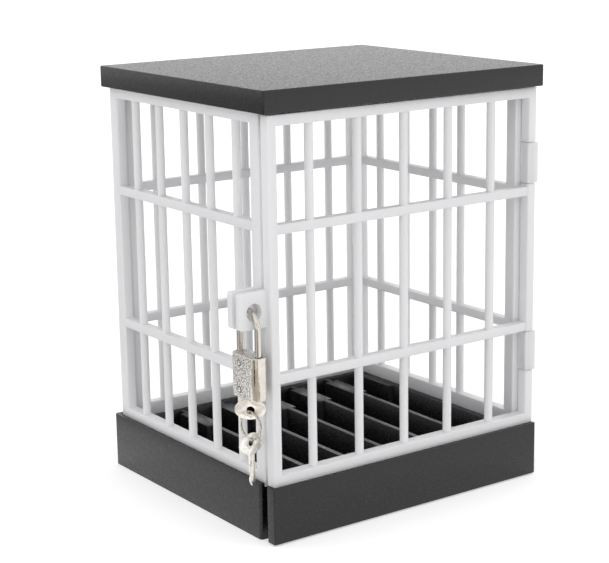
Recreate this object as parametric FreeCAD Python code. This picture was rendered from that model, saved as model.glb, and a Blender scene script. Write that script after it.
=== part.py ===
"""Barred lock-up cage for phones, with a hinged door, a hasp and a small keyed padlock.

Frame: +Z up, the door faces -Y, X across the door. The origin is the centre of the base's
underside. All sizes are in millimetres.
"""
import FreeCAD, Part
import math
import os

from FreeCAD import Vector

X_AXIS = Vector(1, 0, 0)
Y_AXIS = Vector(0, 1, 0)
Z_AXIS = Vector(0, 0, 1)

# Overall sizes
TOTAL_HEIGHT = 210.0
BASE_WIDTH = 163.0
FOOTPRINT_DEPTH = 146.5
BASE_HEIGHT = 27.6
LID_HEIGHT = 10.5

# General clearances
SHUT_GAP = 0.3
JOIN_DEPTH = 1.0
TONGUE_GAP = 0.25

# Base tray
BASE_WALL = 2.4
BASE_FLOOR = 2.5
BASE_CORNER_RADIUS = 1.5
LAND_DROP = 2.1
SLOT_COUNT = 6
SLOT_PITCH = 23.6
RIB_THICKNESS = 2.6
RIB_HEAD_WIDTH = 8.5
RIB_HEAD_START = 29.75
RIB_HEAD_LENGTH = 27.0
SLOT_FRONT_LAND = 4.75
SLOT_BACK_LAND = 11.25

# Lid
LID_SIDE_OVERHANG = 0.8
LID_FRONT_OVERHANG = 1.6
LID_BACK_INSET = 0.5
LID_WALL = 2.2
LID_TOP = 2.2
LID_CORNER_RADIUS = 1.2
LID_EDGE_RADIUS = 0.7
LID_RIB = 1.6
LID_RIB_DEPTH = 7.3

# Barred panels
PANEL_THICKNESS = 5.3
PANEL_INSET = 2.8
PANEL_BACK_INSET = 2.95
PANEL_CORNER_GAP = 0.3
BAR_DIAMETER = 4.2
BAR_COUNT = 5
BAR_SIDES = 12
RAIL_HEIGHT = 4.4
RAIL_DEPTH = 4.8
UPPER_RAIL_Z = 147.4
LOWER_RAIL_Z = 78.3
TOP_RAIL_SHOW = 5.3
BOTTOM_RAIL_SHOW = 4.7
STILE_EDGE_RADIUS = 0.8
SIDE_FRONT_STILE = 7.2
SIDE_BACK_STILE = 7.0
SIDE_BAR_PITCH = 22.8
BACK_STILE = 5.0
BACK_BAR_PITCH = 27.3
TAB_WIDTH = 8.0
TAB_THICKNESS = 2.0
TAB_LENGTH = 6.4
TAB_BARB = 0.8
TAB_CLEARANCE = 0.3
SIDE_TAB_COUNT = 4
SIDE_TAB_PITCH = 24.0
BACK_TAB_COUNT = 3
BACK_TAB_PITCH = 46.0

# Door
DOOR_THICKNESS = 6.0
DOOR_SETBACK = 2.2
DOOR_LEFT_INSET = 2.0
DOOR_RIGHT_INSET = 0.2
DOOR_TOP_GAP = 0.8
DOOR_LATCH_STILE = 4.7
DOOR_HINGE_STILE = 4.9
DOOR_TOP_RAIL = 4.9
DOOR_BOTTOM_RAIL = 5.2
DOOR_BAR_PITCH = 27.3
DOOR_BAR_SHIFT = -1.7
DOOR_BACK_EDGE_RADIUS = 1.6
DOOR_AJAR_DEG = 1.0
SKIRT_THICKNESS = 6.0
SKIRT_GROUND_GAP = 0.8
SKIRT_WALL = 2.0
SKIRT_TAB_COUNT = 4
SKIRT_TAB_PITCH = 40.0
SKIRT_TAB_WIDTH = 10.0
SKIRT_TAB_LENGTH = 9.0
SKIRT_TAB_CLEARANCE = 0.15

# Hinge clips on the right panel and the journals of the door
HINGE_FROM_SIDE = 2.3
JOURNAL_RADIUS = 1.9
JOURNAL_CLEARANCE = 0.05
CLIP_HEIGHT = 20.0
CLIP_END_GAP = 0.4
CLIP_FRONT_WALL = 1.05
CLIP_INNER_WALL = 0.95
CLIP_OUTER_WALL = 1.85
CLIP_MOUTH = 3.2
CLIP_EDGE_RADIUS = 0.8
UPPER_CLIP_Z = 151.4
LOWER_CLIP_Z = 55.4

# Hasp ears
EAR_REACH = 15.0
EAR_HEIGHT = 17.0
EAR_CENTRE_Z = 111.8
EAR_CORNER_RADIUS = 1.4
EAR_HOLE_DIAMETER = 8.0
EAR_HOLE_Z = 111.0
EAR_HOLE_FROM_SIDE = 5.2
DOOR_EAR_THICKNESS = 3.0
PANEL_EAR_THICKNESS = 3.6
PANEL_EAR_SLOT = 3.9

# Padlock
SHACKLE_ROD = 2.8
SHACKLE_SPACING = 14.9
SHACKLE_REST_GAP = 0.25
SHACKLE_BORE_CLEARANCE = 0.1
CASE_WIDTH = 20.5
CASE_THICKNESS = 8.8
CASE_TOP_Z = 91.0
CASE_BOTTOM_Z = 70.8
CASE_EDGE_RADIUS = 0.5
CASE_PLATE = 1.2
CASE_PLATE_RIM = 0.9
RELEASE_TRAVEL = 7.3
TOE_DEPTH = 6.8
HEEL_DEPTH = 15.0
PLUG_RADIUS = 2.8
PLUG_CLEARANCE = 0.05
PLUG_TOP_Z = 86.0
PLUG_ROOF = 0.6
PLUG_PROUD = 0.3
CAM_PIN_RADIUS = 0.6
CAM_PIN_OFFSET = 2.1
CAM_PIN_HEIGHT = 2.6
LATCH_Z = 87.0
LATCH_HEIGHT = 1.8
LATCH_HALF_WIDTH = 2.7
LATCH_NOSE_HALF_WIDTH = 1.2
LATCH_ENGAGEMENT = 1.0
LATCH_GAP = 0.12
LATCH_TAIL = 0.9
HEEL_PIN_RADIUS = 0.6
HEEL_PIN_CLEARANCE = 0.02
HEEL_FLAT_DEPTH = 0.7
SPRING_WIRE = 0.4
SPRING_TURNS = 3
WAFER_COUNT = 4
WAFER_PITCH = 2.4
WAFER_THICKNESS = 0.7
WAFER_LENGTH = 4.4
WAFER_WIDTH = 3.0
WAFER_GAP = 0.1

# Keys and key ring
KEY_THICKNESS = 1.2
BOW_WIDTH = 14.4
BOW_HEIGHT = 9.7
BOW_HOLE_DIAMETER = 4.0
BOW_HOLE_MARGIN = 2.2
BLADE_WIDTH = 3.2
BLADE_LENGTH = 15.2
GROOVE_WIDTH = 0.8
GROOVE_DEPTH = 0.35
GROOVE_OFFSET = 0.45
GROOVE_END = 2.4
SHOULDER_WIDTH = 4.8
SHOULDER_PROUD = 0.4
KEY_CLEARANCE = 0.15
KEY_TO_PLUG_GAP = 0.2
RING_OUTER_DIAMETER = 14.0
RING_WIRE = 1.1
RING_REST_GAP = 0.2
RING_SKEW_GAP = 0.5
KEY_TURN_FROM_FRONT = -35.0
RING_TURN_FROM_FRONT = -80.0
SPARE_TURN_FROM_FRONT = 10.0

# Places worked out from the sizes above
HALF_WIDTH = BASE_WIDTH / 2
FRONT_Y = -FOOTPRINT_DEPTH / 2
BACK_Y = FOOTPRINT_DEPTH / 2
LAND_Z = BASE_HEIGHT - LAND_DROP
LID_BOTTOM_Z = TOTAL_HEIGHT - LID_HEIGHT
DOOR_FRONT_Y = FRONT_Y + DOOR_SETBACK
DOOR_BACK_Y = DOOR_FRONT_Y + DOOR_THICKNESS
FRAME_FRONT_Y = DOOR_BACK_Y + SHUT_GAP
PANEL_OUTER_X = HALF_WIDTH - PANEL_INSET
PANEL_INNER_X = PANEL_OUTER_X - PANEL_THICKNESS
PANEL_BACK_Y = BACK_Y - PANEL_BACK_INSET
PANEL_TOP_Z = TOTAL_HEIGHT - LID_TOP - TONGUE_GAP
TAB_OFFSET = PANEL_THICKNESS / 2
HINGE_X = HALF_WIDTH - HINGE_FROM_SIDE
HINGE_Y = (DOOR_FRONT_Y + DOOR_BACK_Y) / 2
DOOR_LEFT_X = -HALF_WIDTH + DOOR_LEFT_INSET
DOOR_RIGHT_X = HALF_WIDTH - DOOR_RIGHT_INSET
DOOR_TOP_Z = LID_BOTTOM_Z - DOOR_TOP_GAP
EAR_HOLE_X = -HALF_WIDTH - EAR_HOLE_FROM_SIDE
EAR_TIP_X = DOOR_LEFT_X - EAR_REACH


def box(x0, x1, y0, y1, z0, z1):
    """Return a box between two corners."""
    return Part.makeBox(x1 - x0, y1 - y0, z1 - z0, Vector(x0, y0, z0))


def edges_along(shape, axis):
    """Return the straight edges of a shape that run along an axis."""
    found = []
    for edge in shape.Edges:
        if isinstance(edge.Curve, Part.Line) and abs(edge.tangentAt(edge.FirstParameter).dot(axis)) > 0.999:
            found.append(edge)
    return found


def rounded_box(x0, x1, y0, y1, z0, z1, axis, radius):
    """Return a box whose edges along one axis are rounded."""
    solid = box(x0, x1, y0, y1, z0, z1)
    return solid.makeFillet(radius, edges_along(solid, axis))


def cylinder(radius, low, high, x, y):
    """Return an upright cylinder."""
    return Part.makeCylinder(radius, high - low, Vector(x, y, low), Z_AXIS)


def bar(low, high, x, y):
    """Return an upright bar with as many flat sides as keep it round to the eye."""
    radius = BAR_DIAMETER / 2
    points = []
    for index in range(BAR_SIDES + 1):
        angle = 2 * math.pi * (index + 0.5) / BAR_SIDES
        points.append(Vector(x + radius * math.cos(angle), y + radius * math.sin(angle), low))
    return Part.Face(Part.makePolygon(points)).extrude(Vector(0, 0, high - low))


def fuse_all(solids):
    """Fuse solids into one shape and merge its coplanar faces."""
    first = solids[0]
    return first.multiFuse(solids[1:]).removeSplitter() if len(solids) > 1 else first


def centred_steps(count, pitch):
    """Return evenly spaced places about zero."""
    return [(index - (count - 1) / 2) * pitch for index in range(count)]


def turned(shape, degrees, x, y):
    """Turn a shape about an upright axis."""
    copy = shape.copy()
    copy.rotate(Vector(x, y, 0), Z_AXIS, degrees)
    return copy


def stadium(width, thickness, low, high):
    """Return an upright block with round ends, its long side along Y, centred on the Z axis."""
    radius = thickness / 2
    reach = width / 2 - radius
    ends = [cylinder(radius, low, high, 0, side * reach) for side in (-1, 1)]
    return fuse_all([box(-radius, radius, -reach, reach, low, high)] + ends)


def grille(length, low, high, first_stile, last_stile, depth, bottom_rail, top_rail, bar_places):
    """Return a barred frame: length along X from 0, thickness along Y from 0."""
    solids = [
        rounded_box(0, first_stile, 0, depth, low, high, Z_AXIS, STILE_EDGE_RADIUS),
        rounded_box(length - last_stile, length, 0, depth, low, high, Z_AXIS, STILE_EDGE_RADIUS),
        box(first_stile / 2, length - last_stile / 2, 0, depth, low, low + bottom_rail),
        box(first_stile / 2, length - last_stile / 2, 0, depth, high - top_rail, high),
    ]
    middle = depth / 2
    for rail_z in (UPPER_RAIL_Z, LOWER_RAIL_Z):
        solids.append(box(first_stile / 2, length - last_stile / 2, middle - RAIL_DEPTH / 2,
                          middle + RAIL_DEPTH / 2, rail_z - RAIL_HEIGHT / 2, rail_z + RAIL_HEIGHT / 2))
    for place in bar_places:
        solids.append(bar(low + bottom_rail / 2, high - top_rail / 2, place, middle))
    return fuse_all(solids)


def snap_tab(place, top):
    """Return a tab that hangs under a panel, with a barb that hooks under the land."""
    outline = [
        Vector(place, TAB_OFFSET - TAB_THICKNESS / 2, top + JOIN_DEPTH),
        Vector(place, TAB_OFFSET + TAB_THICKNESS / 2, top + JOIN_DEPTH),
        Vector(place, TAB_OFFSET + TAB_THICKNESS / 2, top - BASE_WALL - TAB_CLEARANCE),
        Vector(place, TAB_OFFSET + TAB_THICKNESS / 2 + TAB_BARB, top - BASE_WALL - TAB_CLEARANCE),
        Vector(place, TAB_OFFSET, top - TAB_LENGTH),
        Vector(place, TAB_OFFSET - TAB_THICKNESS / 2, top - TAB_LENGTH),
    ]
    face = Part.Face(Part.makePolygon(outline + outline[:1]))
    tab = face.extrude(Vector(TAB_WIDTH, 0, 0))
    tab.translate(Vector(-TAB_WIDTH / 2, 0, 0))
    return tab


def side_panel_blank():
    """Return a side panel lying along X: its outer face at Y 0, its front end at X 0."""
    length = PANEL_BACK_Y - FRAME_FRONT_Y
    bars = [length / 2 + step for step in centred_steps(BAR_COUNT, SIDE_BAR_PITCH)]
    bottom_rail = BASE_HEIGHT + BOTTOM_RAIL_SHOW - LAND_Z
    top_rail = PANEL_TOP_Z - LID_BOTTOM_Z + TOP_RAIL_SHOW
    solids = [grille(length, LAND_Z, PANEL_TOP_Z, SIDE_FRONT_STILE, SIDE_BACK_STILE,
                     PANEL_THICKNESS, bottom_rail, top_rail, bars)]
    for step in centred_steps(SIDE_TAB_COUNT, SIDE_TAB_PITCH):
        solids.append(snap_tab(length / 2 + step, LAND_Z))
    return fuse_all(solids)


def ear(x_tip, x_root, y0, y1):
    """Return a hasp ear with rounded outer corners and a round hole."""
    low = EAR_CENTRE_Z - EAR_HEIGHT / 2
    high = EAR_CENTRE_Z + EAR_HEIGHT / 2
    plate = box(x_tip, x_root, y0, y1, low, high)
    outer = [edge for edge in edges_along(plate, Y_AXIS) if abs(edge.Vertexes[0].X - x_tip) < 0.01]
    plate = plate.makeFillet(EAR_CORNER_RADIUS, outer)
    hole = Part.makeCylinder(EAR_HOLE_DIAMETER / 2, y1 - y0 + 2, Vector(EAR_HOLE_X, y0 - 1, EAR_HOLE_Z), Y_AXIS)
    return plate.cut(hole)


def left_panel():
    """Return the left panel with the fixed ear of the hasp, which is open below its hole."""
    panel = side_panel_blank()
    panel.rotate(Vector(0, 0, 0), Z_AXIS, 90)
    panel = panel.mirror(Vector(0, 0, 0), X_AXIS)
    panel.translate(Vector(-PANEL_OUTER_X, FRAME_FRONT_Y, 0))
    ear_back = FRAME_FRONT_Y + PANEL_EAR_THICKNESS
    plate = ear(EAR_TIP_X, -PANEL_OUTER_X + STILE_EDGE_RADIUS * 2, FRAME_FRONT_Y, ear_back)
    slot = box(EAR_HOLE_X - PANEL_EAR_SLOT / 2, EAR_HOLE_X + PANEL_EAR_SLOT / 2,
               FRAME_FRONT_Y - 1, ear_back + 1, EAR_CENTRE_Z - EAR_HEIGHT, EAR_HOLE_Z)
    return fuse_all([panel, plate.cut(slot)])


def hinge_clip(low):
    """Return one clip that holds a journal of the door, with its mouth on the outside."""
    bore = JOURNAL_RADIUS + JOURNAL_CLEARANCE
    x0 = HINGE_X - bore - CLIP_INNER_WALL
    x1 = HINGE_X + bore + CLIP_OUTER_WALL
    y0 = HINGE_Y - bore - CLIP_FRONT_WALL
    block = rounded_box(x0, x1, y0, FRAME_FRONT_Y, low, low + CLIP_HEIGHT, Z_AXIS, CLIP_EDGE_RADIUS)
    web = box(x0 + CLIP_EDGE_RADIUS, PANEL_OUTER_X, FRAME_FRONT_Y - CLIP_EDGE_RADIUS,
              FRAME_FRONT_Y + STILE_EDGE_RADIUS * 2, low, low + CLIP_HEIGHT)
    hole = cylinder(bore, low - 1, low + CLIP_HEIGHT + 1, HINGE_X, HINGE_Y)
    mouth = box(HINGE_X, x1 + 1, HINGE_Y - CLIP_MOUTH / 2, HINGE_Y + CLIP_MOUTH / 2, low - 1, low + CLIP_HEIGHT + 1)
    return fuse_all([block, web]).cut(hole).cut(mouth)


def right_panel():
    """Return the right panel with its two hinge clips."""
    panel = side_panel_blank()
    panel.rotate(Vector(0, 0, 0), Z_AXIS, 90)
    panel.translate(Vector(PANEL_OUTER_X, FRAME_FRONT_Y, 0))
    return fuse_all([panel, hinge_clip(UPPER_CLIP_Z), hinge_clip(LOWER_CLIP_Z)])


def back_panel():
    """Return the back panel, which stands between the side panels."""
    half = PANEL_INNER_X - PANEL_CORNER_GAP
    length = 2 * half
    bars = [half + step for step in centred_steps(BAR_COUNT, BACK_BAR_PITCH)]
    bottom_rail = BASE_HEIGHT + BOTTOM_RAIL_SHOW - LAND_Z
    top_rail = PANEL_TOP_Z - LID_BOTTOM_Z + TOP_RAIL_SHOW
    solids = [grille(length, LAND_Z, PANEL_TOP_Z, BACK_STILE, BACK_STILE,
                     PANEL_THICKNESS, bottom_rail, top_rail, bars)]
    for step in centred_steps(BACK_TAB_COUNT, BACK_TAB_PITCH):
        solids.append(snap_tab(half + step, LAND_Z))
    panel = fuse_all(solids)
    panel.rotate(Vector(0, 0, 0), Z_AXIS, 180)
    panel.translate(Vector(half, PANEL_BACK_Y, 0))
    return panel


def slot_cut(centre):
    """Return the space of one phone slot, narrower between the heads of the ribs."""
    wide = (SLOT_PITCH - RIB_THICKNESS) / 2
    narrow = (SLOT_PITCH - RIB_HEAD_WIDTH) / 2
    y0 = FRAME_FRONT_Y + SLOT_FRONT_LAND
    y1 = BACK_Y - SLOT_BACK_LAND
    outline = [
        Vector(-wide, y0, 0), Vector(wide, y0, 0),
        Vector(wide, RIB_HEAD_START, 0), Vector(narrow, RIB_HEAD_START, 0),
        Vector(narrow, RIB_HEAD_START + RIB_HEAD_LENGTH, 0), Vector(wide, RIB_HEAD_START + RIB_HEAD_LENGTH, 0),
        Vector(wide, y1, 0), Vector(-wide, y1, 0),
        Vector(-wide, RIB_HEAD_START + RIB_HEAD_LENGTH, 0), Vector(-narrow, RIB_HEAD_START + RIB_HEAD_LENGTH, 0),
        Vector(-narrow, RIB_HEAD_START, 0), Vector(-wide, RIB_HEAD_START, 0),
    ]
    face = Part.Face(Part.makePolygon(outline + outline[:1]))
    cut = face.extrude(Vector(0, 0, BASE_HEIGHT))
    cut.translate(Vector(centre, 0, BASE_FLOOR))
    return cut


def tab_notches():
    """Return the notches in the land that the panels' tabs drop through."""
    notches = []
    depth = TAB_THICKNESS / 2 + TAB_BARB + TAB_CLEARANCE
    half = TAB_WIDTH / 2 + TAB_CLEARANCE
    low = LAND_Z - BASE_WALL - 1
    side_middle = (FRAME_FRONT_Y + PANEL_BACK_Y) / 2
    for side in (-1, 1):
        x = side * (PANEL_OUTER_X - TAB_OFFSET)
        for step in centred_steps(SIDE_TAB_COUNT, SIDE_TAB_PITCH):
            y = side_middle + step
            notches.append(box(x - depth, x + depth, y - half, y + half, low, BASE_HEIGHT))
    y = PANEL_BACK_Y - TAB_OFFSET
    for x in centred_steps(BACK_TAB_COUNT, BACK_TAB_PITCH):
        notches.append(box(x - half, x + half, y - depth, y + depth, low, BASE_HEIGHT))
    return notches


def base_tray():
    """Return the base: rim, land for the panels, ribs, slots and a cored underside."""
    body = rounded_box(-HALF_WIDTH, HALF_WIDTH, FRAME_FRONT_Y, BACK_Y, 0, BASE_HEIGHT, Z_AXIS, BASE_CORNER_RADIUS)
    inner_x = HALF_WIDTH - BASE_WALL
    inner_y = BACK_Y - BASE_WALL
    cuts = [box(-inner_x, inner_x, FRAME_FRONT_Y - 1, inner_y, LAND_Z, BASE_HEIGHT + 1)]
    cuts += [slot_cut(step) for step in centred_steps(SLOT_COUNT, SLOT_PITCH)]
    cuts += tab_notches()
    slot_edge = SLOT_COUNT * SLOT_PITCH / 2 - RIB_THICKNESS / 2
    core_top = LAND_Z - BASE_WALL
    for side in (-1, 1):
        x_low, x_high = sorted((side * (slot_edge + BASE_WALL), side * inner_x))
        cuts.append(box(x_low, x_high, FRAME_FRONT_Y + BASE_WALL, inner_y, -1, core_top))
    slot_back = BACK_Y - SLOT_BACK_LAND
    cuts.append(box(-slot_edge, slot_edge, slot_back + BASE_WALL, inner_y, -1, core_top))
    head_half = RIB_HEAD_WIDTH / 2 - BASE_WALL
    for x in centred_steps(SLOT_COUNT - 1, SLOT_PITCH):
        cuts.append(box(x - head_half, x + head_half, RIB_HEAD_START + BASE_WALL,
                        RIB_HEAD_START + RIB_HEAD_LENGTH - BASE_WALL, -1, core_top))
    for cut in cuts:
        body = body.cut(cut)
    return body


def lid():
    """Return the lid: a shallow cap with a rib inside that holds the panels' tops."""
    x1 = HALF_WIDTH + LID_SIDE_OVERHANG
    y0 = FRONT_Y - LID_FRONT_OVERHANG
    y1 = BACK_Y - LID_BACK_INSET
    shell = rounded_box(-x1, x1, y0, y1, LID_BOTTOM_Z, TOTAL_HEIGHT, Z_AXIS, LID_CORNER_RADIUS)
    rim = [edge for edge in shell.Edges if min(vertex.Z for vertex in edge.Vertexes) > TOTAL_HEIGHT - 0.01]
    shell = shell.makeFillet(LID_EDGE_RADIUS, rim)
    ceiling = TOTAL_HEIGHT - LID_TOP
    shell = shell.cut(box(-x1 + LID_WALL, x1 - LID_WALL, y0 + LID_WALL, y1 - LID_WALL, LID_BOTTOM_Z - 1, ceiling))
    inner_x = PANEL_INNER_X - TONGUE_GAP
    inner_back = PANEL_BACK_Y - PANEL_THICKNESS - TONGUE_GAP
    low = ceiling - LID_RIB_DEPTH
    ring = box(-inner_x, inner_x, FRAME_FRONT_Y, inner_back, low, ceiling)
    ring = ring.cut(box(-inner_x + LID_RIB, inner_x - LID_RIB, FRAME_FRONT_Y + LID_RIB,
                        inner_back - LID_RIB, low - 1, ceiling + 1))
    return fuse_all([shell, ring])


def swing_open(shape):
    """Turn a piece of the door to the angle at which the door stands ajar."""
    return turned(shape, DOOR_AJAR_DEG, HINGE_X, HINGE_Y)


def skirt_tab_places():
    """Return the X places of the tabs that join the door's grille to its skirt."""
    middle = (DOOR_LEFT_X + DOOR_RIGHT_X) / 2
    return [middle + step for step in centred_steps(SKIRT_TAB_COUNT, SKIRT_TAB_PITCH)]


def skirt_tab_y():
    """Return the Y of the middle of the door's tabs."""
    return FRONT_Y + SKIRT_WALL + (SKIRT_THICKNESS - SKIRT_WALL) / 2 + TAB_THICKNESS / 4


def door_grille():
    """Return the barred door with its ear and its two hinge journals, shut."""
    length = DOOR_RIGHT_X - DOOR_LEFT_X
    middle = length / 2 + DOOR_BAR_SHIFT
    bars = [middle + step for step in centred_steps(BAR_COUNT, DOOR_BAR_PITCH)]
    door = grille(length, BASE_HEIGHT, DOOR_TOP_Z, DOOR_LATCH_STILE, DOOR_HINGE_STILE,
                  DOOR_THICKNESS, DOOR_BOTTOM_RAIL, DOOR_TOP_RAIL, bars)
    door.translate(Vector(DOOR_LEFT_X, DOOR_FRONT_Y, 0))
    corner = box(DOOR_RIGHT_X - DOOR_BACK_EDGE_RADIUS, DOOR_RIGHT_X + 1, DOOR_BACK_Y - DOOR_BACK_EDGE_RADIUS,
                 DOOR_BACK_Y + 1, BASE_HEIGHT - 1, DOOR_TOP_Z + 1)
    corner = corner.cut(cylinder(DOOR_BACK_EDGE_RADIUS, BASE_HEIGHT - 1, DOOR_TOP_Z + 1,
                                 DOOR_RIGHT_X - DOOR_BACK_EDGE_RADIUS, DOOR_BACK_Y - DOOR_BACK_EDGE_RADIUS))
    door = door.cut(corner)
    solids = [door]
    for low in (UPPER_CLIP_Z, LOWER_CLIP_Z):
        gap = box(DOOR_RIGHT_X - DOOR_HINGE_STILE - 1, DOOR_RIGHT_X + 1, DOOR_FRONT_Y - 1, DOOR_BACK_Y + 1,
                  low - CLIP_END_GAP, low + CLIP_HEIGHT + CLIP_END_GAP)
        solids[0] = solids[0].cut(gap)
        solids.append(cylinder(JOURNAL_RADIUS, low - CLIP_END_GAP - 1, low + CLIP_HEIGHT + CLIP_END_GAP + 1,
                               HINGE_X, HINGE_Y))
    solids.append(ear(EAR_TIP_X, DOOR_LEFT_X + DOOR_LATCH_STILE / 2, DOOR_BACK_Y - DOOR_EAR_THICKNESS, DOOR_BACK_Y))
    y = skirt_tab_y()
    for x in skirt_tab_places():
        solids.append(box(x - SKIRT_TAB_WIDTH / 2, x + SKIRT_TAB_WIDTH / 2, y - TAB_THICKNESS / 2,
                          y + TAB_THICKNESS / 2, BASE_HEIGHT - SKIRT_TAB_LENGTH, BASE_HEIGHT + 1))
    return fuse_all(solids)


def door_skirt():
    """Return the black skirt under the door, hollow at the back, shut."""
    back = FRONT_Y + SKIRT_THICKNESS
    body = rounded_box(-HALF_WIDTH, HALF_WIDTH, FRONT_Y, back, SKIRT_GROUND_GAP, BASE_HEIGHT, Z_AXIS, STILE_EDGE_RADIUS)
    body = body.cut(box(-HALF_WIDTH + SKIRT_WALL, HALF_WIDTH - SKIRT_WALL, FRONT_Y + SKIRT_WALL, back + 1,
                        SKIRT_GROUND_GAP + SKIRT_WALL, BASE_HEIGHT - SKIRT_WALL))
    y = skirt_tab_y()
    reach = TAB_THICKNESS / 2 + SKIRT_TAB_CLEARANCE
    half = SKIRT_TAB_WIDTH / 2 + SKIRT_TAB_CLEARANCE
    for x in skirt_tab_places():
        body = body.cut(box(x - half, x + half, y - reach, y + reach, BASE_HEIGHT - SKIRT_WALL - 1, BASE_HEIGHT + 1))
    return body


def lock_centre():
    """Return the X and Y of the padlock's upright axis, midway between the ears' outer faces."""
    door_ear_front = swing_open(Part.Vertex(EAR_HOLE_X, DOOR_BACK_Y - DOOR_EAR_THICKNESS, 0)).Point.y
    panel_ear_back = FRAME_FRONT_Y + PANEL_EAR_THICKNESS
    return EAR_HOLE_X, (door_ear_front + panel_ear_back) / 2, (panel_ear_back - door_ear_front) / 2


LOCK_X, LOCK_Y, EAR_SPAN_HALF = lock_centre()
ROD_RADIUS = SHACKLE_ROD / 2
LEG_OFFSET = SHACKLE_SPACING / 2
ARCH_RISE = math.sqrt((LEG_OFFSET - ROD_RADIUS) ** 2 - EAR_SPAN_HALF ** 2)
EAR_HOLE_BOTTOM = EAR_HOLE_Z - EAR_HOLE_DIAMETER / 2
ARCH_TOP_Z = EAR_HOLE_BOTTOM + SHACKLE_REST_GAP - ARCH_RISE + LEG_OFFSET
TOE_END_Z = CASE_TOP_Z - TOE_DEPTH
HEEL_END_Z = CASE_TOP_Z - HEEL_DEPTH
BORE_RADIUS = ROD_RADIUS + SHACKLE_BORE_CLEARANCE
LATCH_TRAVEL = 2 * CAM_PIN_OFFSET * math.sin(math.radians(45))
LATCH_TIP_Y = -LEG_OFFSET + ROD_RADIUS - LATCH_ENGAGEMENT
HEEL_PIN_Y = LEG_OFFSET - ROD_RADIUS + HEEL_FLAT_DEPTH - HEEL_PIN_RADIUS - LATCH_GAP
HEEL_PIN_Z = HEEL_END_Z + 2 * HEEL_PIN_RADIUS + RELEASE_TRAVEL + LATCH_GAP
CASE_FLOOR_Z = CASE_BOTTOM_Z + CASE_PLATE


def at_lock(shape, degrees=0.0):
    """Turn a piece made about the Z axis and set it on the padlock's axis."""
    placed = turned(shape, degrees, 0, 0)
    placed.translate(Vector(LOCK_X, LOCK_Y, 0))
    return placed


def latch_channel():
    """Return the space in the case that the latch slides in."""
    low = LATCH_Z - LATCH_GAP
    high = LATCH_Z + LATCH_HEIGHT + LATCH_GAP
    half = LATCH_HALF_WIDTH + LATCH_GAP
    return box(-half, half, -LEG_OFFSET, LATCH_TAIL + LATCH_TRAVEL + LATCH_GAP, low, high)


def padlock_case():
    """Return the case of the padlock with its bores and the latch's channel."""
    case = stadium(CASE_WIDTH, CASE_THICKNESS, CASE_BOTTOM_Z, CASE_TOP_Z)
    rims = [edge for edge in case.Edges if abs(edge.CenterOfMass.z - CASE_TOP_Z) < 0.01
            or abs(edge.CenterOfMass.z - CASE_BOTTOM_Z) < 0.01]
    case = case.makeFillet(CASE_EDGE_RADIUS, rims)
    cuts = [
        cylinder(BORE_RADIUS, CASE_FLOOR_Z, CASE_TOP_Z + 1, 0, LEG_OFFSET),
        cylinder(BORE_RADIUS, TOE_END_Z - 1, CASE_TOP_Z + 1, 0, -LEG_OFFSET),
        cylinder(PLUG_RADIUS + PLUG_CLEARANCE, CASE_BOTTOM_Z - 1, PLUG_TOP_Z + LATCH_GAP, 0, 0),
        cylinder(PLUG_RADIUS + PLUG_CLEARANCE, PLUG_TOP_Z, LATCH_Z, 0, 0),
        latch_channel(),
        stadium(CASE_WIDTH - 2 * CASE_PLATE_RIM, CASE_THICKNESS - 2 * CASE_PLATE_RIM,
                CASE_BOTTOM_Z - 1, CASE_FLOOR_Z),
        Part.makeCylinder(HEEL_PIN_RADIUS + HEEL_PIN_CLEARANCE, CASE_THICKNESS - 2,
                          Vector(-CASE_THICKNESS / 2 + 1, HEEL_PIN_Y, HEEL_PIN_Z), X_AXIS),
    ]
    for cut in cuts:
        case = case.cut(cut)
    return at_lock(case)


def padlock_base_plate():
    """Return the plate that closes the case from below, with a hole for the plug."""
    gap = LATCH_GAP / 2
    plate = stadium(CASE_WIDTH - 2 * CASE_PLATE_RIM - 2 * gap, CASE_THICKNESS - 2 * CASE_PLATE_RIM - 2 * gap,
                    CASE_BOTTOM_Z + gap, CASE_FLOOR_Z)
    hole = cylinder(PLUG_RADIUS + PLUG_CLEARANCE, CASE_BOTTOM_Z - 1, CASE_FLOOR_Z + 1, 0, 0)
    return at_lock(plate.cut(hole))


def heel_pin():
    """Return the cross pin that keeps the heel of the shackle in the case."""
    length = CASE_THICKNESS - 2
    pin = Part.makeCylinder(HEEL_PIN_RADIUS, length, Vector(-length / 2, HEEL_PIN_Y, HEEL_PIN_Z), X_AXIS)
    return at_lock(pin)


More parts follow.
